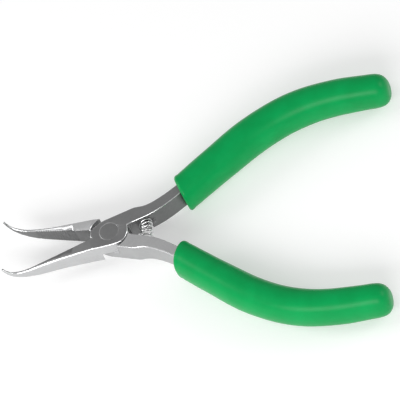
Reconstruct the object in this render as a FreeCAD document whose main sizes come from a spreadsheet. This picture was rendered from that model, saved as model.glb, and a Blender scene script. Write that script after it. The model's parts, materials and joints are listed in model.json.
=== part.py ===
"""Bent needle nose pliers with a lap joint, a coil return spring and two cushion grips.

Every lever is drawn in its closed position, with the pivot at the origin and the middle of the
steel at z = 0: +X runs to the handle ends and both noses curve up to +Z. The front lever has its
handle on +Y and its jaw on -Y, and the rear lever is the other way round. Each sub-part's
Placement then opens the pliers about the pivot and lifts them, so that the joint's rear face
lies at z = 0. Millimetres and degrees.
"""
import FreeCAD, Part
import math
import os

from FreeCAD import Placement, Rotation, Vector

# ------------------------------------------------------------------ driving dimensions

DRIVING = [
    ("joint_thickness", 7.8, "steel thickness at the joint and along the bare handles"),
    ("lap_level", -0.5, "height of the lap plane above the middle of the steel"),
    ("lap_gap", 0.06, "clearance between the two leaves"),
    ("rest_half_angle", 13.9, "how far each lever is turned open at rest"),
    ("handle_spread", 0.9, "how far each handle is set outwards from the line of its jaw"),
    ("lobe_radius", 6.35, "round lobe of each leaf about the pivot"),
    ("shoulder_radius", 6.5, "shoulder that the other leaf's lobe turns in"),
    ("edge_break", 0.35, "rounding along the steel edges"),
    ("rivet_radius", 2.6, "rivet shank"),
    ("rivet_head_radius", 3.3, "rivet head, flush in its countersink"),
    ("rivet_head_depth", 0.9, "height of the countersunk head"),
    ("rivet_clearance", 0.04, "radial running clearance in the rear lever"),
    ("jaw_round", 0.9, "rounding along the back of each jaw, where it is fullest"),
    ("jaw_round_reach", 25.5, "distance from the pivot at which it is fullest"),
    ("tip_round", 0.2, "rounding at the tip of the nose"),
    ("taper_start", 6.9, "distance from the pivot at which the nose starts to thin"),
    ("face_gap", 0.04, "gripping face's distance from the centre line when closed"),
    ("tip_width", 0.62, "width of each jaw at its tip"),
    ("tooth_pitch", 0.85, "serration pitch along the gripping face"),
    ("tooth_depth", 0.28, "depth of each serration groove"),
    ("tooth_count", 17, "serration grooves in each jaw"),
    ("tooth_first", 12.6, "first groove's distance from the pivot"),
    ("spring_reach", 11.8, "distance of the spring's axis from the pivot"),
    ("spring_outside", 4.4, "outer diameter of the spring's coil"),
    ("spring_wire", 0.6, "diameter of the spring's wire"),
    ("spring_turns", 9, "turns of the spring"),
    ("pocket_radius", 2.5, "blind pocket that holds an end of the spring"),
    ("pocket_floor", 2.75, "pocket floor's distance from the centre line"),
    ("tang_width", 3.6, "width of the steel where it enters the grip"),
    ("tang_end_width", 3.0, "width of the steel's hidden end"),
    ("grip_width", 11.6, "grip, across the handle in the plane of the pliers"),
    ("grip_height", 13.6, "grip, along the pivot axis"),
    ("mouth_slant", 1.6, "how far the grip's mouth leans back on its outer side"),
]

doc = FreeCAD.newDocument("needle_nose_pliers")
sheet = doc.addObject("Spreadsheet::Sheet", "Sizes")
for row, (alias, value, meaning) in enumerate(DRIVING, start=1):
    sheet.set(f"A{row}", alias)
    sheet.set(f"B{row}", str(value))
    sheet.set(f"C{row}", meaning)
    sheet.setAlias(f"B{row}", alias)
doc.recompute()


def size(alias):
    return float(sheet.get(alias))


half_thick = size("joint_thickness") / 2
lobe = size("lobe_radius")
face_gap = size("face_gap")

# Turns the handle's plan outwards about the pivot, by its spread.
HANDLE_SET = Placement(Vector(), Rotation(Vector(0, 0, 1), size("handle_spread")))

# Centre line of the handle inside its grip, from the grip's mouth to its blunt end (x, y), before
# the handle's spread.
GRIP_LINE = [(25.8, 5.75), (40, 11.95), (54, 17.5), (68, 20.3), (82, 19.4), (100.8, 14.6)]

# Sections of a grip: (share of the centre line, share of the full width, share of the full height).
# The height stays the same over the first half, so that the pliers lie steady on their grips.
GRIP_SECTIONS = [(0.0, 0.74, 0.82), (0.008, 0.86, 0.93), (0.03, 0.91, 0.99), (0.12, 0.94, 1.0),
                 (0.33, 1.0, 1.0), (0.55, 0.98, 1.0), (0.78, 0.93, 0.97), (0.92, 0.885, 0.92),
                 (0.97, 0.81, 0.84), (0.992, 0.64, 0.67), (1.0, 0.46, 0.48)]

MOUTH_SHARE = 0.12          # share of the centre line over which the mouth's slant fades out

# Outer side of a jaw in plan: (distance from the pivot, width out from the gripping face).
JAW_WIDTHS = [(8.0, 3.95), (14.0, 2.95), (20.0, 1.98), (26.5, 1.25), (31.5, 0.88)]

# The nose's curve in side view: (distance from the pivot, height above the middle of the steel).
NOSE_FRONT = [(27.0, 1.1), (31.0, 0.95), (33.6, 1.7), (35.1, 2.95), (35.9, 4.4), (36.3, 5.6)]
NOSE_REAR = [(22.0, -3.9), (28.5, -3.2), (31.4, -2.2), (34.2, -0.2), (35.5, 1.45),
             (36.3, 3.2), (36.95, 5.2)]

TANG_SHARES = (0.18, 0.36, 0.56, 0.76, 0.93)     # where the hidden tang's outline is shaped


# ------------------------------------------------------------------ curves

def on_grip_line(share):
    """Point and direction on the grip's centre line, at a share of its length."""
    curve = Part.BSplineCurve()
    curve.interpolate([Vector(x, y, 0) for x, y in GRIP_LINE])
    curve.rotate(HANDLE_SET)
    parameter = curve.parameterAtDistance(share * curve.length(), curve.FirstParameter)
    return curve.value(parameter), curve.tangent(parameter)[0]


def beside_grip_line(share, offset):
    """A plan point offset from the grip's centre line, positive to the outer side."""
    at, along = on_grip_line(share)
    return at.x - along.y * offset, at.y + along.x * offset


def on_handle(x, y):
    """A plan point of the handle, turned out by its spread."""
    turned = HANDLE_SET.multVec(Vector(x, y, 0))
    return turned.x, turned.y


def around_pivot(radius, degrees):
    angle = math.radians(degrees)
    return radius * math.cos(angle), radius * math.sin(angle)


class Plan:
    """Plan geometry of one lever. The rear lever's is mirrored in the centre line."""

    def __init__(self, side):
        self.side = side

    def at(self, point):
        return Vector(point[0], self.side * point[1], 0)

    def line(self, start, end):
        return Part.LineSegment(self.at(start), self.at(end))

    def arc(self, start, middle, end):
        return Part.Arc(self.at(start), self.at(middle), self.at(end))

    def spline(self, points):
        curve = Part.BSplineCurve()
        curve.interpolate([self.at(point) for point in points])
        return curve


def lever_outline(side):
    """Plan outline of a whole lever: jaw, lobe, bare handle and hidden tang."""
    plan = Plan(side)
    half_in = size("tang_width") / 2
    half_end = size("tang_end_width") / 2

    tip_x = -NOSE_REAR[-1][0] - size("joint_thickness")
    tip_inner = (tip_x, -face_gap)
    tip_outer = (tip_x, -face_gap - size("tip_width"))
    jaw_back = [(-along, -face_gap - width) for along, width in JAW_WIDTHS]
    heel = (-math.sqrt(lobe ** 2 - face_gap ** 2), -face_gap)
    lobe_top = around_pivot(lobe, 155)
    back_start = (-0.2, 4.97)
    knuckle_in = on_handle(9.2, 5.38)
    knuckle_out = on_handle(11.4, 5.1)
    mouth_outer = beside_grip_line(0, half_in)
    mouth_inner = beside_grip_line(0, -half_in)
    halves = [half_in + (half_end - half_in) * share for share in TANG_SHARES]
    tang_outer = [beside_grip_line(s, h) for s, h in zip(TANG_SHARES, halves)]
    tang_inner = [beside_grip_line(s, -h) for s, h in zip(TANG_SHARES, halves)]
    crotch = on_handle(8.4, 0.16)
    lobe_crotch = around_pivot(lobe, 0.5)
    lobe_bottom = around_pivot(lobe, -46)
    belly = (1.6, -5.4)

    return [
        plan.line(tip_inner, heel),
        plan.arc(heel, around_pivot(lobe, 168), lobe_top),
        plan.arc(lobe_top, (-3.15, 4.2), back_start),
        plan.line(back_start, knuckle_in),
        plan.arc(knuckle_in, on_handle(10.4, 5.32), knuckle_out),
        plan.spline([knuckle_out, on_handle(13.8, 4.68), on_handle(17.8, 5.15), mouth_outer]
                    + tang_outer),
        plan.line(tang_outer[-1], tang_inner[-1]),
        plan.spline(tang_inner[::-1] + [mouth_inner, on_handle(20.0, 1.7), on_handle(16.0, 0.72),
                                        on_handle(12.2, 0.32), crotch]),
        plan.line(crotch, lobe_crotch),
        plan.arc(lobe_crotch, around_pivot(lobe, -25), lobe_bottom),
        plan.arc(lobe_bottom, (3.2, -5.15), belly),
        plan.spline([belly, (-2.4, -4.98)] + jaw_back + [tip_outer]),
        plan.line(tip_outer, tip_inner),
    ]


class NoseEdge:
    """The nose's front (sign 1) or rear (sign -1) edge in side view (x, z): a straight taper
    from the joint, then a curve up to the tip."""

    def __init__(self, sign, points):
        self.root = Vector(-0.9 * lobe, sign * half_thick, 0)
        self.taper = Vector(-size("taper_start"), sign * half_thick, 0)
        bend = [Vector(-reach, height, 0) for reach, height in points]
        self.bend, self.tip = bend[0], bend[-1]
        self.curve = Part.BSplineCurve()
        self.curve.interpolate(Points=bend, InitialTangent=(bend[0] - self.taper).normalize(),
                               FinalTangent=(bend[-1] - bend[-2]).normalize())

    def along_curve(self, share):
        """Point and direction at a share of the curve's length, past its ends in line."""
        inside = min(1.0, share)
        curve = self.curve
        parameter = curve.parameterAtDistance(inside * curve.length(), curve.FirstParameter)
        direction = curve.tangent(parameter)[0]
        return curve.value(parameter) + direction * ((share - inside) * curve.length()), direction


def nose_edges():
    return NoseEdge(1, NOSE_FRONT), NoseEdge(-1, NOSE_REAR)


def side_profile():
    """Side view (x, z) of both levers: the flat steel, the thinning nose and its curve."""
    front, rear = nose_edges()
    far_end = GRIP_LINE[-1][0]
    far_front, far_rear = Vector(far_end, half_thick, 0), Vector(far_end, -half_thick, 0)
    return [Part.LineSegment(far_front, front.taper), Part.LineSegment(front.taper, front.bend),
            front.curve, Part.LineSegment(front.tip, rear.tip), rear.curve,
            Part.LineSegment(rear.bend, rear.taper), Part.LineSegment(rear.taper, far_rear),
            Part.LineSegment(far_rear, far_front)]


# ------------------------------------------------------------------ lever

def sketch_on(body, role, name):
    sketch = body.newObject("Sketcher::SketchObject", name)
    plane = next(f for f in body.Origin.OriginFeatures if f.Role == role)
    sketch.AttachmentSupport = (plane, "")
    sketch.MapMode = "FlatFace"
    return sketch


def lever_blank(name, side):
    """The forging before the lap is cut: plan and side views cut from one block, edges broken."""
    body = doc.addObject("PartDesign::Body", f"{name}_forging")
    outline = sketch_on(body, "XY_Plane", f"{name}_outline")
    for piece in lever_outline(side):
        outline.addGeometry(piece, False)
    pad = body.newObject("PartDesign::Pad", f"{name}_pad")
    pad.Profile = outline
    pad.SideType = "Symmetric"
    pad.setExpression("Length", "2 * Sizes.joint_thickness")

    around = sketch_on(body, "XZ_Plane", f"{name}_side_view")
    for piece in side_profile():
        around.addGeometry(piece, False)
    reach, height = 2 * GRIP_LINE[-1][0], 2 * size("joint_thickness")
    frame = [Vector(x, z, 0) for x, z in ((-reach, -height), (reach, -height), (reach, height),
                                         (-reach, height))]
    for a, b in zip(frame, frame[1:] + frame[:1]):
        around.addGeometry(Part.LineSegment(a, b), False)
    trim = body.newObject("PartDesign::Pocket", f"{name}_side_cut")
    trim.Profile = around
    trim.SideType = "Symmetric"
    trim.Length = 2 * reach
    body.Tip = trim
    doc.recompute()
    return body


def rounding_at(reach):
    """Rounding of the steel's outer edges at a distance from the pivot, along the jaw."""
    stations = [(size("taper_start"), size("edge_break")),
                (size("jaw_round_reach"), size("jaw_round")),
                (-nose_edges()[0].tip.x, size("tip_round"))]
    if reach <= stations[0][0]:
        return stations[0][1]
    for (near, small), (far, large) in zip(stations, stations[1:]):
        if reach <= far:
            return small + (large - small) * (reach - near) / (far - near)
    return stations[-1][1]


def broken_edges(name, forging):
    """Rounds the forging's long edges, more along the backs of the jaws."""
    rounded = doc.addObject("Part::Fillet", f"{name}_edges")
    rounded.Base = forging
    chosen = []
    for index, edge in enumerate(forging.Shape.Edges, start=1):
        box = edge.BoundBox
        upright = box.XLength + box.YLength < 1e-6
        hidden_end = box.XMin > GRIP_LINE[1][0]
        on_face = box.YLength < 1e-6 and box.XMax < -0.9 * lobe
        if not upright and not hidden_end and not on_face:
            first, last = (rounding_at(-v.X) for v in (edge.Vertexes[0], edge.Vertexes[-1]))
            chosen.append((index, first, last))
    rounded.Edges = chosen
    doc.recompute()
    return rounded


def lap_cutter(name, side):
    """Clears the other lever's leaf: a round recess with a broken edge at the outer face."""
    recess = doc.addObject("Part::Cylinder", f"{name}_lap_recess")
    recess.setExpression("Radius", "Sizes.shoulder_radius")
    flare = doc.addObject("Part::Cone", f"{name}_lap_flare")
    flare.setExpression("Height", "2 * Sizes.edge_break")
    leaf = "Sizes.joint_thickness / 2"
    if side > 0:
        recess.setExpression("Height", f"{leaf} + Sizes.lap_level + Sizes.lap_gap / 2")
        recess.setExpression("Placement.Base.z", f"-{leaf}")
        flare.setExpression("Placement.Base.z", f"-{leaf} - Sizes.edge_break")
        flare.setExpression("Radius1", "Sizes.shoulder_radius + 2 * Sizes.edge_break")
        flare.setExpression("Radius2", "Sizes.shoulder_radius")
    else:
        recess.setExpression("Height", f"{leaf} - Sizes.lap_level + Sizes.lap_gap / 2")
        recess.setExpression("Placement.Base.z", "Sizes.lap_level - Sizes.lap_gap / 2")
        flare.setExpression("Placement.Base.z", f"{leaf} - Sizes.edge_break")
        flare.setExpression("Radius1", "Sizes.shoulder_radius")
        flare.setExpression("Radius2", "Sizes.shoulder_radius + 2 * Sizes.edge_break")
    cutter = doc.addObject("Part::Fuse", f"{name}_lap_cutter")
    cutter.Base = recess
    cutter.Tool = flare
    return cutter


def spring_pocket(name, side):
    pocket = doc.addObject("Part::Cylinder", f"{name}_spring_pocket")
    pocket.setExpression("Radius", "Sizes.pocket_radius")
    pocket.setExpression("Height", "2 * Sizes.pocket_floor")
    pocket.Placement = Placement(Vector(size("spring_reach"), -side * size("pocket_floor"), 0),
                                 Rotation(Vector(1, 0, 0), -90 * side))
    return pocket


def serration_cutter(name, side):
    """V-grooves across the gripping face, one for each pitch."""
    depth, pitch = size("tooth_depth"), size("tooth_pitch")
    face_y = -side * face_gap
    grooves = []
    for number in range(int(size("tooth_count"))):
        x = -size("tooth_first") - number * pitch
        half_width = pitch * 0.46
        v_shape = Part.makePolygon([
            Vector(x - half_width, face_y, -half_thick), Vector(x, face_y - side * depth, -half_thick),
            Vector(x + half_width, face_y, -half_thick),
            Vector(x, face_y + side * depth, -half_thick),
            Vector(x - half_width, face_y, -half_thick)])
        grooves.append(Part.Face(v_shape).extrude(Vector(0, 0, size("joint_thickness"))))
    cutter = doc.addObject("Part::Feature", f"{name}_serration_cutter")
    cutter.Shape = Part.makeCompound(grooves)
    return cutter


def face_edge_cutter(name, side):
    """Breaks the two long edges of the gripping face, from the heel to the tip."""
    wedges = []
    for nose, sign in zip(nose_edges(), (1, -1)):
        taper_run = nose.bend - nose.taper
        stations = [(nose.root, Vector(-1, 0, 0)), (nose.taper, taper_run.normalize())]
        stations += [nose.along_curve(number / 7) for number in range(9)]
        triangles = []
        for number, (point, direction) in enumerate(stations):
            up = Vector(direction.y, 0, -direction.x) * sign
            fine = max(0, number - 2) / 8
            broken = 0.8 * (size("edge_break") * (1 - fine) + size("tip_round") * fine)
            edge = Vector(point.x, -side * face_gap, point.y)
            corners = [edge + Vector(0, side * out * broken, 0) + up * (high * broken)
                       for out, high in ((1, -2), (-2, 1), (1, 1))]
            triangles.append(Part.makePolygon(corners + corners[:1]))
        wedges.append(Part.makeLoft(triangles, True, True))
    cutter = doc.addObject("Part::Feature", f"{name}_face_edges")
    cutter.Shape = Part.makeCompound(wedges)
    return cutter


def rivet_solid(name, extra):
    """Rivet shank with a countersunk head at each face, grown by a clearance all round."""
    shank = doc.addObject("Part::Cylinder", f"{name}_shank")
    shank.setExpression("Radius", f"Sizes.rivet_radius + {extra}")
    shank.setExpression("Height", "Sizes.joint_thickness")
    shank.setExpression("Placement.Base.z", "-Sizes.joint_thickness / 2")
    heads = []
    for end, label in ((1, "front"), (-1, "rear")):
        head = doc.addObject("Part::Cone", f"{name}_{label}_head")
        head.setExpression("Radius1", f"Sizes.rivet_radius + {extra}")
        head.setExpression("Radius2", f"Sizes.rivet_head_radius + {extra}")
        head.setExpression("Height", "Sizes.rivet_head_depth")
        head.Placement = Placement(Vector(0, 0, end * (half_thick - size("rivet_head_depth"))),
                                   Rotation(Vector(1, 0, 0), 0 if end > 0 else 180))
        heads.append(head)
    whole = doc.addObject("Part::MultiFuse", name)
    whole.Shapes = [shank] + heads
    return whole


def opened(side):
    """Placement of a lever's sub-parts: turned open about the pivot and lifted to z = 0."""
    return Placement(Vector(0, 0, half_thick),
                     Rotation(Vector(0, 0, 1), side * size("rest_half_angle")))


def lever(name, side, rivet_hole):
    forged = broken_edges(name, lever_blank(name, side))
    cuts = [("lapped", lap_cutter(name, side)), ("bored", rivet_hole),
            ("pocketed", spring_pocket(name, side)), ("eased", face_edge_cutter(name, side)),
            ("serrated", serration_cutter(name, side))]
    steel = forged
    for stage, tool in cuts:
        cut = doc.addObject("Part::Cut", f"{name}_{stage}")
        cut.Base = steel
        cut.Tool = tool
        steel = cut
    steel.Label = name
    steel.Placement = opened(side)
    return steel


# ------------------------------------------------------------------ grip

def grip_section(share, width, height, side):
    """An upright oval across the handle, square to its centre line but slanted at the mouth."""
    at, along = on_grip_line(share)
    centre = Vector(at.x, side * at.y, 0)
    forward = Vector(along.x, side * along.y, 0)
    outward = Vector(-along.y, side * along.x, 0)
    slant = size("mouth_slant") * max(0.0, 1 - share / MOUTH_SHARE)
    tall = Vector(0, 0, size("grip_height") / 2 * height)
    wide = outward * (size("grip_width") / 2 * width) + forward * slant
    return Part.Ellipse(centre + tall, centre + wide, centre).toShape()


def grip(name, side, tang):
    sections = []
    for number, (share, width, height) in enumerate(GRIP_SECTIONS, start=1):
        section = doc.addObject("Part::Feature", f"{name}_section_{number}")
        section.Shape = Part.Wire([grip_section(share, width, height, side)])
        sections.append(section)
    form = doc.addObject("Part::Loft", f"{name}_form")
    form.Sections = sections
    form.Solid = True
    sleeve = doc.addObject("Part::Cut", name)
    sleeve.Base = form
    sleeve.Tool = tang
    sleeve.Label = name
    sleeve.Placement = opened(side)
    return sleeve


# ------------------------------------------------------------------ spring

def spring_shape():
    """A coil whose axis is an arc about the pivot, from one pocket floor to the other."""
    reach, wire = size("spring_reach"), size("spring_wire")
    coil = (size("spring_outside") - wire) / 2
    turns = size("spring_turns")
    half_span = math.radians(size("rest_half_angle")) + math.asin(
        (size("pocket_floor") - 0.75 * wire) / reach)
    steps_per_turn = 12
    points = []
    steps = int(turns * steps_per_turn)
    for step in range(steps + 1):
        share = step / steps
        turn = 2 * math.pi * turns * share
        swing = half_span * (2 * share - 1)
        radius = reach - coil * math.cos(turn)
        points.append(Vector(radius * math.cos(swing), radius * math.sin(swing),
                             coil * math.sin(turn)))
    path = Part.BSplineCurve()
    path.interpolate(points)
    ring = Part.makeCircle(wire / 2, path.value(path.FirstParameter),
                           path.tangent(path.FirstParameter)[0])
    return Part.Wire([path.toShape()]).makePipeShell([Part.Wire([ring])], True, True)


def return_spring():
    spring = doc.addObject("Part::Feature", "return_spring")
    spring.Shape = spring_shape()
    spring.Label = "return_spring"
    spring.Placement = Placement(Vector(0, 0, half_thick), Rotation())
    return spring


# ------------------------------------------------------------------ the pliers

pivot_rivet = rivet_solid("pivot_rivet", "0")
pivot_rivet.Label = "pivot_rivet"
front_hole = rivet_solid("front_rivet_hole", "0")
rear_hole = rivet_solid("rear_rivet_hole", "Sizes.rivet_clearance")

nodes = [lever("front_lever", 1, front_hole), lever("rear_lever", -1, rear_hole)]
nodes.append(grip("front_grip", 1, doc.getObject("front_lever_forging")))
nodes.append(grip("rear_grip", -1, doc.getObject("rear_lever_forging")))
pivot_rivet.Placement = opened(1)
nodes.append(pivot_rivet)
nodes.append(return_spring())
doc.recompute()

failed = [o.Name for o in doc.Objects if "Invalid" in o.State or "Error" in o.State]
if failed:
    raise SystemExit(f"failed to build: {failed}")
for node in nodes:
    if node.Shape.isNull() or not node.Shape.isValid() or len(node.Shape.Solids) != 1:
        raise SystemExit(f"{node.Label} is not one valid solid")

os.makedirs("parts", exist_ok=True)
for node in nodes:
    node.Shape.exportStep(f"parts/{node.Label}.step")
    print(node.Label, round(node.Shape.Volume, 1), node.Shape.BoundBox)
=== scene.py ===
import json
import math

import bmesh
import bpy
from mathutils import Matrix, Vector


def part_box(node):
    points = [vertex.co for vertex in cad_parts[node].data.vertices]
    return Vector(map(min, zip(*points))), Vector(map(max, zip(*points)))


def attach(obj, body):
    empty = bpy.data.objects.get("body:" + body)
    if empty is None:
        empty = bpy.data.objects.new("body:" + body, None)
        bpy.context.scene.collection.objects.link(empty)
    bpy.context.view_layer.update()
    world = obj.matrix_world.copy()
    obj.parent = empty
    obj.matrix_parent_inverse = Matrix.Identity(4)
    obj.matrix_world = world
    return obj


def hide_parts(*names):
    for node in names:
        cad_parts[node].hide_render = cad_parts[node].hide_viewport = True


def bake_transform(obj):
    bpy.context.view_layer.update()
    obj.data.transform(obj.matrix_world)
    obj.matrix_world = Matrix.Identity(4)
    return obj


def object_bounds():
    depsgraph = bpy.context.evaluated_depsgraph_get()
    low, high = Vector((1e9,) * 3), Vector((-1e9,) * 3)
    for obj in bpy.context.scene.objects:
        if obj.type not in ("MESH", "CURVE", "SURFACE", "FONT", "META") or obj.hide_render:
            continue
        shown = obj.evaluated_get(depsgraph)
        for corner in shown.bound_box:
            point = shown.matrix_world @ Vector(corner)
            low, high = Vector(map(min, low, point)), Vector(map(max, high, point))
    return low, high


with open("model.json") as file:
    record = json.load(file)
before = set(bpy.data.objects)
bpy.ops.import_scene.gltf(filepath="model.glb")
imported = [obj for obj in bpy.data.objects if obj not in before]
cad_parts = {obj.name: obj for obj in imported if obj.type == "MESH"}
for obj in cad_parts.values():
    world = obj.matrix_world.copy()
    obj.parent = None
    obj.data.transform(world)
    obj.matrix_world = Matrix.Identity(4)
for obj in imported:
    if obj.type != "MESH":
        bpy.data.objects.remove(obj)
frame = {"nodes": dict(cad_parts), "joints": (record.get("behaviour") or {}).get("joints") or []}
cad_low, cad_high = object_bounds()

# Bent needle nose pliers: two forged steel levers lapped at a flush rivet, a coil return spring and
# two dipped vinyl grips. The frame is the CAD's: the pivot axis is Z through the origin, +X runs
# between the handles, and the noses curve up. Metres, so sizes in millimetres carry MM.

MM = 0.001
JOINT = frame["joints"][0]
REST_HALF = math.radians(JOINT["range_deg"][1] / 2)      # each lever's turn from closed, at rest
MID_STEEL = JOINT["pos_m"][2]                            # height of the middle of the steel
RIVET_LOW, RIVET_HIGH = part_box("pivot_rivet")
LEVERS = {1: ("front_lever", "front_half"), -1: ("rear_lever", "rear_half")}
GRIPS = {1: ("front_grip", "front_half"), -1: ("rear_grip", "rear_half")}


def turn_open(side):
    """Turns a closed lever's geometry to its place at rest."""
    return Matrix.Rotation(side * REST_HALF, 4, "Z")


# ------------------------------------------------------------------ node helpers

def new_material(name):
    material = bpy.data.materials.new(name)
    material.use_nodes = True
    shader = material.node_tree.nodes["Principled BSDF"]
    return material, material.node_tree, shader


def add(tree, kind, **settings):
    """A node with its properties set, and its inputs too where a key is a socket's name."""
    node = tree.nodes.new(kind)
    for key, value in settings.items():
        if hasattr(node, key):
            setattr(node, key, value)
        else:
            node.inputs[key.replace("_", " ").title()].default_value = value
    return node


def placed(tree, turn=0.0, stretch=(1, 1, 1)):
    """Object coordinates, turned about Z and then stretched."""
    coordinates = add(tree, "ShaderNodeTexCoord")
    turned = add(tree, "ShaderNodeMapping")
    turned.inputs["Rotation"].default_value = (0, 0, turn)
    stretched = add(tree, "ShaderNodeMapping")
    stretched.inputs["Scale"].default_value = stretch
    tree.links.new(coordinates.outputs["Object"], turned.inputs["Vector"])
    tree.links.new(turned.outputs["Vector"], stretched.inputs["Vector"])
    return stretched.outputs["Vector"]


def noise(tree, where, scale, detail=3.0, roughness=0.55):
    node = add(tree, "ShaderNodeTexNoise", scale=scale, detail=detail, roughness=roughness)
    tree.links.new(where, node.inputs["Vector"])
    return node.outputs["Fac"]


def ranged(tree, value, low, high, from_low=0.3, from_high=0.7):
    node = add(tree, "ShaderNodeMapRange")
    node.inputs["From Min"].default_value = from_low
    node.inputs["From Max"].default_value = from_high
    node.inputs["To Min"].default_value = low
    node.inputs["To Max"].default_value = high
    tree.links.new(value, node.inputs["Value"])
    return node.outputs["Result"]


def mixed(tree, share, first, second):
    """One colour fading into another by a share."""
    node = add(tree, "ShaderNodeMix", data_type="RGBA")
    tree.links.new(share, node.inputs["Factor"])
    for socket, colour in ((node.inputs[6], first), (node.inputs[7], second)):
        if isinstance(colour, tuple):
            socket.default_value = (*colour, 1)
        else:
            tree.links.new(colour, socket)
    return node.outputs[2]


def bump(tree, shader, height, strength, distance):
    node = add(tree, "ShaderNodeBump")
    node.inputs["Strength"].default_value = strength
    node.inputs["Distance"].default_value = distance
    tree.links.new(height, node.inputs["Height"])
    tree.links.new(node.outputs["Normal"], shader.inputs["Normal"])


# ------------------------------------------------------------------ materials

# How fine each pattern is, in repeats to the metre. The brushed one is drawn out along the lever.
BLASTED_GRAIN = 5200
STAIN = 160
BRUSHED_LINES = (60, 3200, 3200)
VINYL_CLOUDS = 120
VINYL_SKIN = 1500
DRAWN_WIRE = 2600


def steel(name, tone, roughness, turn=0.0, lines=0.0, grain=0.3):
    """Tool steel: a fine blasted grain, and brushed lines along the lever where lines is above 0."""
    material, tree, shader = new_material(name)
    shader.inputs["Metallic"].default_value = 1.0
    fine = noise(tree, placed(tree, turn), BLASTED_GRAIN)
    cloudy = noise(tree, placed(tree, turn), STAIN, detail=5)
    brushed = noise(tree, placed(tree, turn, BRUSHED_LINES), 1.0, detail=4)
    mix = add(tree, "ShaderNodeMix", data_type="FLOAT")
    mix.inputs["Factor"].default_value = lines
    tree.links.new(fine, mix.inputs[2])
    tree.links.new(brushed, mix.inputs[3])
    surface = mix.outputs[0]
    dark = (tone * 0.9, tone * 0.905, tone * 0.915)
    light = (tone * 1.08, tone * 1.085, tone * 1.09)
    toned = mixed(tree, ranged(tree, surface, 0, 1), dark, light)
    stain = mixed(tree, ranged(tree, cloudy, 0, 1), (0.94, 0.94, 0.94), (1.0, 1.0, 1.0))
    product = add(tree, "ShaderNodeMix", data_type="RGBA", blend_type="MULTIPLY")
    product.inputs["Factor"].default_value = 1.0
    tree.links.new(toned, product.inputs[6])
    tree.links.new(stain, product.inputs[7])
    tree.links.new(product.outputs[2], shader.inputs["Base Color"])
    tree.links.new(ranged(tree, surface, roughness * 0.9, roughness * 1.12),
                   shader.inputs["Roughness"])
    bump(tree, shader, surface, grain, 0.02 * MM)
    return material


def vinyl():
    """Green dipped vinyl, slightly uneven, with a satin gloss."""
    material, tree, shader = new_material("green_vinyl")
    shader.inputs["IOR"].default_value = 1.5
    shader.inputs["Specular IOR Level"].default_value = 0.16
    where = placed(tree)
    cloudy = noise(tree, where, VINYL_CLOUDS, detail=4)
    skin = noise(tree, where, VINYL_SKIN, detail=3)
    colour = mixed(tree, ranged(tree, cloudy, 0, 1), (0.0001, 0.285, 0.066), (0.0003, 0.335, 0.082))
    tree.links.new(colour, shader.inputs["Base Color"])
    tree.links.new(ranged(tree, skin, 0.30, 0.38), shader.inputs["Roughness"])
    bump(tree, shader, skin, 0.25, 0.05 * MM)
    return material


def spring_wire():
    material, tree, shader = new_material("bright_spring_wire")
    shader.inputs["Metallic"].default_value = 1.0
    drawn = noise(tree, placed(tree), DRAWN_WIRE, detail=3)
    tree.links.new(mixed(tree, ranged(tree, drawn, 0, 1), (0.72, 0.72, 0.73), (0.9, 0.9, 0.9)),
                   shader.inputs["Base Color"])
    tree.links.new(ranged(tree, drawn, 0.16, 0.26), shader.inputs["Roughness"])
    bump(tree, shader, drawn, 0.1, 0.01 * MM)
    return material


def lever_steels(side):
    """The steels of one lever, in the order that region_of() numbers them. Their tones are painted
    light and shade, not finishes of the steel.
    """
    name = LEVERS[side][0]
    turn = -side * REST_HALF
    # Painted light and shade: one steel, its faces and walls toned apart as the light falls on them,
    # the front lever's faces darker and its walls lighter than the rear lever's.
    face_tone, wall_tone = (0.37, 0.60) if side > 0 else (0.76, 0.49)
    return [steel(f"{name}_face_painted_light_and_shade", face_tone, 0.42, turn),
            steel(f"{name}_outer_wall_painted_light_and_shade", wall_tone, 0.38, turn, lines=0.5),
            # Painted highlight: the rounded edges are toned near white to show the highlight they
            # catch; their lower roughness and brushed lines are real.
            steel(f"{name}_edge_painted_highlight", 0.92, 0.22, turn, lines=0.8, grain=0.1),
            # Painted shade: the handles' inner walls are toned dark for the shade and dark
            # reflections between the handles; the brushed lines are real.
            steel(f"{name}_inner_wall_painted_shade", 0.25, 0.40, turn, lines=0.9, grain=0.5),
            # Painted shade: the gripping faces are toned darkest for the shade in their serrations.
            steel(f"{name}_gripping_face_painted_shade", 0.235, 0.42, turn)]


# ------------------------------------------------------------------ levers

FACE, OUTER_WALL, EDGE, INNER_WALL, GRIPPING = range(5)

# Places along the closed lever, and how deep the gripping face's serrations and edges reach.
NOSE_START = -24 * MM
JAW_START = -7 * MM
HANDLE_START = 6 * MM
GRIPPING_DEPTH = -0.45 * MM

SQUARE_ON, EDGE_ON = 0.97, 0.2       # how far a direction must agree to face a way, or not to


def region_of(centre, normal, side):
    """Which region a facet lies in, from its place and direction in the closed lever; each region
    gets a steel whose tone paints its light and shade.
    """
    along, across = centre.x, centre.y * side
    outward = normal.y * side
    in_nose = along < NOSE_START
    flat = abs(outward) if in_nose else abs(normal.z)
    is_wall = flat > SQUARE_ON if in_nose else flat < EDGE_ON
    is_face = flat < EDGE_ON if in_nose else flat > SQUARE_ON
    on_jaw = along < JAW_START
    if on_jaw and across > GRIPPING_DEPTH and outward > 0.3:
        return EDGE if outward < 0.8 and abs(normal.z) > 0.3 else GRIPPING
    if is_face:
        return FACE
    if is_wall:
        if on_jaw:
            return OUTER_WALL
        return OUTER_WALL if outward > 0 or along < HANDLE_START else INNER_WALL
    return EDGE


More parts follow.
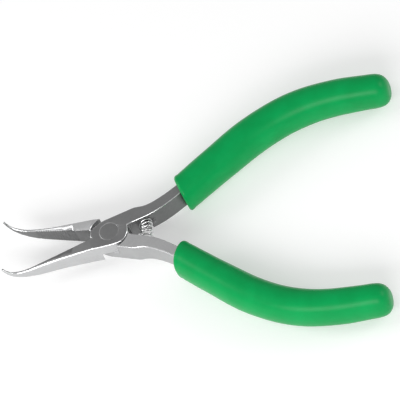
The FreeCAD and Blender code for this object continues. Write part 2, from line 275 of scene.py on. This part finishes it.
def lever(side):
    """The forged lever's own surface, merged and shaded smooth, with a steel for each region whose
    tone is painted light and shade.
    """
    node, body = LEVERS[side]
    mesh = frame["nodes"][node].data.copy()
    mesh.name = f"{node}_steel"
    work = bmesh.new()
    work.from_mesh(mesh)
    bmesh.ops.remove_doubles(work, verts=work.verts, dist=0.001 * MM)
    closed = turn_open(-side)
    for face in work.faces:
        face.normal_update()
        face.smooth = True
        face.material_index = region_of(closed @ face.calc_center_median(),
                                        closed.to_3x3() @ face.normal, side)
    mesh.materials.clear()
    for shader_material in lever_steels(side):
        mesh.materials.append(shader_material)
    work.to_mesh(mesh)
    work.free()
    mesh.set_sharp_from_angle(angle=math.radians(28))
    piece = bpy.data.objects.new(f"{node}_steel", mesh)
    bpy.context.scene.collection.objects.link(piece)
    weighted = piece.modifiers.new("even_faces", "WEIGHTED_NORMAL")
    weighted.keep_sharp = True
    apply_modifiers(piece)
    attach(piece, body)
    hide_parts(node)


def apply_modifiers(piece):
    """Turns what the modifiers make into the piece's own plain mesh."""
    graph = bpy.context.evaluated_depsgraph_get()
    made = bpy.data.meshes.new_from_object(piece.evaluated_get(graph))
    piece.modifiers.clear()
    piece.data = made


# ------------------------------------------------------------------ rivet

def rivet(shader_material):
    """The flush rivet, turned: countersunk heads with a fine broken edge that shows as a ring."""
    radius = RIVET_HIGH.x
    shank, head, edge, crown = 2.6 * MM, 0.9 * MM, 0.12 * MM, 0.02 * MM
    top, bottom = RIVET_HIGH.z, RIVET_LOW.z
    half = [(0, top), (radius * 0.5, top - crown * 0.3), (radius - 2 * edge, top - crown),
            (radius - edge, top - crown - edge * 0.3), (radius - 0.2 * edge, top - 1.6 * edge),
            (shank, top - head)]
    profile = half + [(r, bottom + top - z) for r, z in reversed(half)]
    work = bmesh.new()
    path = [work.verts.new((r, 0, z)) for r, z in profile]
    edges = [work.edges.new(pair) for pair in zip(path, path[1:])]
    bmesh.ops.spin(work, geom=path + edges, cent=(0, 0, 0), axis=(0, 0, 1), angle=2 * math.pi,
                   steps=96, use_merge=True)
    bmesh.ops.remove_doubles(work, verts=work.verts, dist=0.001 * MM)
    bmesh.ops.recalc_face_normals(work, faces=work.faces)
    piece = mesh_piece("pivot_rivet_turned", work, [shader_material])
    piece.data.set_sharp_from_angle(angle=math.radians(40))
    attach(piece, "front_half")
    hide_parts("pivot_rivet")


def mesh_piece(name, work, materials):
    mesh = bpy.data.meshes.new(name)
    for face in work.faces:
        face.smooth = True
    work.to_mesh(mesh)
    work.free()
    for material in materials:
        mesh.materials.append(material)
    piece = bpy.data.objects.new(name, mesh)
    bpy.context.scene.collection.objects.link(piece)
    return piece


# ------------------------------------------------------------------ spring

SPRING_REACH = 11.8 * MM
COIL_RADIUS = 1.9 * MM
WIRE = 0.6 * MM
SPRING_TURNS = 9
POINTS_PER_TURN = 36
POCKET_FLOOR = 2.75 * MM


def coil_tree(shader_material):
    """Geometry nodes: a coil whose axis is an arc about the pivot, wound closer at both ends."""
    tree = bpy.data.node_groups.new("return_spring_coil", "GeometryNodeTree")
    sizes = [("Turns", SPRING_TURNS), ("Coil Radius", COIL_RADIUS), ("Wire Radius", WIRE / 2),
             ("Reach", SPRING_REACH), ("Half Span", 0.4), ("Height", MID_STEEL),
             ("Closeness", 0.3)]
    for label, value in sizes:
        socket = tree.interface.new_socket(label, in_out="INPUT", socket_type="NodeSocketFloat")
        socket.default_value = value
    tree.interface.new_socket("Geometry", in_out="OUTPUT", socket_type="NodeSocketGeometry")
    given = add(tree, "NodeGroupInput")

    def value(source):
        return given.outputs[source] if isinstance(source, str) else source

    def maths(operation, *terms):
        node = add(tree, "ShaderNodeMath", operation=operation)
        for socket, term in zip(node.inputs, terms):
            if isinstance(term, (int, float)):
                socket.default_value = term
            else:
                tree.links.new(value(term), socket)
        return node.outputs[0]

    line = add(tree, "GeometryNodeCurvePrimitiveLine")
    resample = add(tree, "GeometryNodeResampleCurve")
    count = maths("MULTIPLY", "Turns", POINTS_PER_TURN)
    tree.links.new(line.outputs[0], resample.inputs["Curve"])
    tree.links.new(count, resample.inputs["Count"])
    share = add(tree, "GeometryNodeSplineParameter").outputs["Factor"]
    turn = maths("MULTIPLY", maths("MULTIPLY", share, "Turns"), math.tau)
    wave = maths("SINE", maths("MULTIPLY", share, math.tau))
    crowd = maths("MULTIPLY", maths("DIVIDE", wave, math.tau), "Closeness")
    spaced = maths("SUBTRACT", share, crowd)
    swing = maths("MULTIPLY", maths("SUBTRACT", maths("MULTIPLY", spaced, 2), 1), "Half Span")
    radius = maths("SUBTRACT", "Reach", maths("MULTIPLY", maths("COSINE", turn), "Coil Radius"))
    place = add(tree, "ShaderNodeCombineXYZ")
    tree.links.new(maths("MULTIPLY", radius, maths("COSINE", swing)), place.inputs["X"])
    tree.links.new(maths("MULTIPLY", radius, maths("SINE", swing)), place.inputs["Y"])
    rise = maths("MULTIPLY", maths("SINE", turn), "Coil Radius")
    tree.links.new(maths("ADD", rise, "Height"), place.inputs["Z"])
    wound = add(tree, "GeometryNodeSetPosition")
    tree.links.new(resample.outputs[0], wound.inputs["Geometry"])
    tree.links.new(place.outputs[0], wound.inputs["Position"])
    ring = add(tree, "GeometryNodeCurvePrimitiveCircle")
    ring.inputs["Resolution"].default_value = 14
    tree.links.new(given.outputs["Wire Radius"], ring.inputs["Radius"])
    swept = add(tree, "GeometryNodeCurveToMesh")
    swept.inputs["Fill Caps"].default_value = True
    tree.links.new(wound.outputs[0], swept.inputs["Curve"])
    tree.links.new(ring.outputs[0], swept.inputs["Profile Curve"])
    real = add(tree, "GeometryNodeRealizeInstances")
    tree.links.new(swept.outputs[0], real.inputs[0])
    coated = add(tree, "GeometryNodeSetMaterial")
    coated.inputs["Material"].default_value = shader_material
    tree.links.new(real.outputs[0], coated.inputs["Geometry"])
    out = add(tree, "NodeGroupOutput")
    tree.links.new(coated.outputs[0], out.inputs[0])
    return tree


def spring(shader_material):
    """The return spring, from one pocket's floor to the other."""
    half_span = REST_HALF + math.asin((POCKET_FLOOR - 0.75 * WIRE) / SPRING_REACH)
    piece = bpy.data.objects.new("return_spring_coil", bpy.data.meshes.new("return_spring_coil"))
    bpy.context.scene.collection.objects.link(piece)
    modifier = piece.modifiers.new("coil", "NODES")
    modifier.node_group = coil_tree(shader_material)
    for item in modifier.node_group.interface.items_tree:
        if item.name == "Half Span":
            modifier[item.identifier] = half_span
    apply_modifiers(piece)
    for polygon in piece.data.polygons:
        polygon.use_smooth = True
    piece.data.set_sharp_from_angle(angle=math.radians(50))
    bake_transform(piece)
    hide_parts("return_spring")


# ------------------------------------------------------------------ grips

# Centre line of a grip in its closed lever, from the mouth to the blunt end (x, y), millimetres,
# before the handle's spread.
GRIP_LINE = [(25.8, 5.75), (40, 11.95), (54, 17.5), (68, 20.3), (82, 19.4), (100.8, 14.6)]
HANDLE_SPREAD = math.radians(0.9)

# Outline of a grip: (share of the centre line, shares of the full width and of the full height).
GRIP_SWELL = [(0.0, 0.90, 0.98), (0.06, 0.925, 0.99), (0.14, 0.945, 0.995), (0.33, 1.0, 0.995),
              (0.55, 0.98, 0.995), (0.78, 0.93, 0.965), (0.92, 0.885, 0.92), (0.97, 0.85, 0.88),
              (1.0, 0.82, 0.85)]

GRIP_WIDTH = 11.6 * MM
GRIP_HEIGHT = 13.6 * MM
MOUTH_SLANT = 1.6 * MM
MOUTH_SHARE = 0.12
LIP = 1.1 * MM
END_ROUND = 0.058                # share of the centre line over which the end rounds off
TANG = (1.8 * MM, 3.9 * MM)      # half the width and height of the steel at the mouth
TANG_PLAY = 0.3 * MM
BORE_DEPTH = 5 * MM
LIP_STEPS = 8

# How square an oval is: 2 is an ellipse, and more is fuller.
SLEEVE_FULLNESS, LIP_FULLNESS, MOUTH_FULLNESS, BORE_FULLNESS = 2.15, 2.4, 5, 6
END_FULLNESS = 2.3


def smooth_line(points, count):
    """Evenly spaced points on an interpolating spline, as (place, direction)."""
    knots = [Vector((*p, 0)) * MM for p in points]
    ends = [2 * knots[0] - knots[1]] + knots + [2 * knots[-1] - knots[-2]]
    fine = []
    for a, b, c, d in zip(ends, ends[1:], ends[2:], ends[3:]):
        for step in range(60):
            t = step / 60
            fine.append(0.5 * (2 * b + (c - a) * t + (2 * a - 5 * b + 4 * c - d) * t ** 2
                               + (3 * b - a - 3 * c + d) * t ** 3))
    fine.append(knots[-1])
    lengths = [0.0]
    for a, b in zip(fine, fine[1:]):
        lengths.append(lengths[-1] + (b - a).length)
    even = []
    at = 0
    for number in range(count):
        wanted = lengths[-1] * number / (count - 1)
        while at < len(fine) - 2 and lengths[at + 1] < wanted:
            at += 1
        share = (wanted - lengths[at]) / (lengths[at + 1] - lengths[at])
        even.append((fine[at].lerp(fine[at + 1], share), (fine[at + 1] - fine[at]).normalized()))
    return even, lengths[-1]


def swell_at(share):
    """Width and height of a grip at a share of its centre line."""
    for (a, *low), (b, *high) in zip(GRIP_SWELL, GRIP_SWELL[1:]):
        if share <= b:
            t = (share - a) / (b - a)
            ease = t * t * (3 - 2 * t)
            wide, tall = (x + (y - x) * ease for x, y in zip(low, high))
            return GRIP_WIDTH * wide, GRIP_HEIGHT * tall
    raise ValueError("past the end of the grip")


def oval(angle, half_width, half_height, fullness):
    """A point of a slightly full oval, as (across, up)."""
    c, s = math.cos(angle), math.sin(angle)
    return (half_width * math.copysign(abs(c) ** (2 / fullness), c),
            half_height * math.copysign(abs(s) ** (2 / fullness), s))


def grip(side, shader_material):
    """A dipped grip: a curved oval sleeve with a rolled mouth and a blunt, rounded end."""
    node, body = GRIPS[side]
    around, along = 72, 150
    line, length = smooth_line(GRIP_LINE, along + 1)
    place = Matrix.Rotation(side * (REST_HALF + HANDLE_SPREAD), 4, "Z")
    work = bmesh.new()

    def ring(share, width, height, slide=0.0, fullness=SLEEVE_FULLNESS):
        number = min(along, int(round(share * along)))
        at, forward = line[number]
        across = Vector((-forward.y, forward.x, 0))
        slant = MOUTH_SLANT * max(0.0, 1 - share / MOUTH_SHARE)
        verts = []
        for step in range(around):
            x, z = oval(math.tau * step / around, width / 2, height / 2, fullness)
            lean = slant * x / (GRIP_WIDTH / 2)
            p = at + across * x + forward * (slide + lean) + Vector((0, 0, z))
            p = Vector((p.x, side * p.y, p.z + MID_STEEL))
            verts.append(work.verts.new(place @ p))
        return verts

    rings = []
    bore_width, bore_height = 2 * TANG[0] + TANG_PLAY, 2 * TANG[1] + TANG_PLAY
    flare = 0.5 * MM
    rings.append(ring(0, bore_width, bore_height, slide=BORE_DEPTH, fullness=BORE_FULLNESS))
    rings.append(ring(0, bore_width, bore_height, slide=flare, fullness=BORE_FULLNESS))
    rings.append(ring(0, bore_width + flare, bore_height + flare, fullness=MOUTH_FULLNESS))
    width, height = swell_at(0)
    for step in range(LIP_STEPS + 1):
        turn = math.pi / 2 * step / LIP_STEPS
        inset = 2 * LIP * (1 - math.sin(turn))
        rings.append(ring(0, width - inset, height - inset, slide=LIP * (1 - math.cos(turn)),
                          fullness=LIP_FULLNESS))
    first = int(math.ceil(1.2 * LIP / length * along)) + 1
    for number in range(first, along + 1):
        share = number / along
        width, height = swell_at(share)
        end = max(0.0, (share - (1 - END_ROUND)) / END_ROUND)
        if end > 0.999:
            break
        closing = (1 - end ** END_FULLNESS) ** (1 / END_FULLNESS)
        rings.append(ring(share, width * closing, height * closing))
    for low, high in zip(rings, rings[1:]):
        for step in range(around):
            after = (step + 1) % around
            work.faces.new((low[step], low[after], high[after], high[step]))
    work.faces.new(rings[0])
    work.faces.new(rings[-1])
    bmesh.ops.recalc_face_normals(work, faces=work.faces)
    piece = mesh_piece(f"{node}_sleeve", work, [shader_material])
    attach(piece, body)
    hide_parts(node)


# ------------------------------------------------------------------ floor, lights and camera

FLOOR_HALF = 0.9
LIGHT_AIM = Vector((0.03, 0, 0))

# Softboxes: (name, place from where they aim, size, watts).
SOFTBOXES = [("front_softbox", (-0.1, -0.75, 0.45), (1.0, 0.35), 6),
             ("left_softbox", (-0.9, 0.1, 0.5), (0.4, 0.4), 3.5),
             ("right_softbox", (0.95, 0.2, 0.5), (0.5, 0.5), 2.5)]


def studio():
    """A pale floor under the pliers, an even grey surround and three softboxes."""
    floor_mesh = bpy.data.meshes.new("floor")
    half, floor_z = FLOOR_HALF, cad_low.z
    corners = [(-half, -half, floor_z), (half, -half, floor_z), (half, half, floor_z),
               (-half, half, floor_z)]
    floor_mesh.from_pydata(corners, [], [(0, 1, 2, 3)])
    floor = bpy.data.objects.new("floor", floor_mesh)
    bpy.context.scene.collection.objects.link(floor)
    pale, _, shader = new_material("pale_floor")
    shader.inputs["Base Color"].default_value = (0.72, 0.72, 0.72, 1)
    shader.inputs["Emission Color"].default_value = (1, 1, 1, 1)
    shader.inputs["Emission Strength"].default_value = 0.34
    shader.inputs["Roughness"].default_value = 0.85
    shader.inputs["Specular IOR Level"].default_value = 0.1
    floor_mesh.materials.append(pale)

    world = bpy.data.worlds.new("studio")
    world.use_nodes = True
    world.node_tree.nodes["Background"].inputs["Color"].default_value = (0.40, 0.40, 0.40, 1)
    bpy.context.scene.world = world

    for name, offset, size, watts in SOFTBOXES:
        softbox(name, LIGHT_AIM + Vector(offset), LIGHT_AIM, size, watts)


def softbox(name, place, aim, size, power):
    light = bpy.data.lights.new(name, "AREA")
    light.shape = "RECTANGLE"
    light.size, light.size_y = size
    light.energy = power
    lamp = bpy.data.objects.new(name, light)
    lamp.location = place
    lamp.rotation_euler = (aim - place).to_track_quat("-Z", "Y").to_euler()
    bpy.context.scene.collection.objects.link(lamp)


VIEW_TILT, VIEW_ROLL, VIEW_TURN = (math.radians(a) for a in (36.7, 29.7, 24.9))
VIEW_DISTANCE = 2.4
VIEW_SCALE = 129.0 * MM              # width of the view in the plane of the joint
JOINT_OFF_CENTRE = (29.45 * MM, 10.13 * MM)      # the view's centre from the joint, right and up


def camera():
    """Looks down on the pliers from the side of the lower handle, rolled as they lie in view."""
    along = Vector((math.cos(VIEW_TURN), math.sin(VIEW_TURN), 0))
    beyond = Vector((-math.sin(VIEW_TURN), math.cos(VIEW_TURN), 0))
    upward = beyond * math.cos(VIEW_TILT) + Vector((0, 0, math.sin(VIEW_TILT)))
    right = along * math.cos(VIEW_ROLL) - upward * math.sin(VIEW_ROLL)
    up = along * math.sin(VIEW_ROLL) + upward * math.cos(VIEW_ROLL)
    back = right.cross(up)
    joint_front = Vector((0, 0, RIVET_HIGH.z))
    aim = joint_front + right * JOINT_OFF_CENTRE[0] + up * JOINT_OFF_CENTRE[1]
    data = bpy.data.cameras.new("camera")
    data.sensor_width = 36
    data.lens = data.sensor_width * VIEW_DISTANCE / VIEW_SCALE
    data.clip_start, data.clip_end = 0.05, 10
    eye = bpy.data.objects.new("camera", data)
    turned = Matrix((right, up, back)).transposed().to_4x4()
    eye.matrix_world = Matrix.Translation(aim + back * VIEW_DISTANCE) @ turned
    bpy.context.scene.collection.objects.link(eye)
    bpy.context.scene.camera = eye


bpy.context.scene.view_settings.view_transform = "Standard"
studio()
camera()
for side in (1, -1):
    lever(side)
rivet(steel("rivet_steel", 0.37, 0.38, -REST_HALF))
spring(spring_wire())
green = vinyl()
for side in (1, -1):
    grip(side, green)
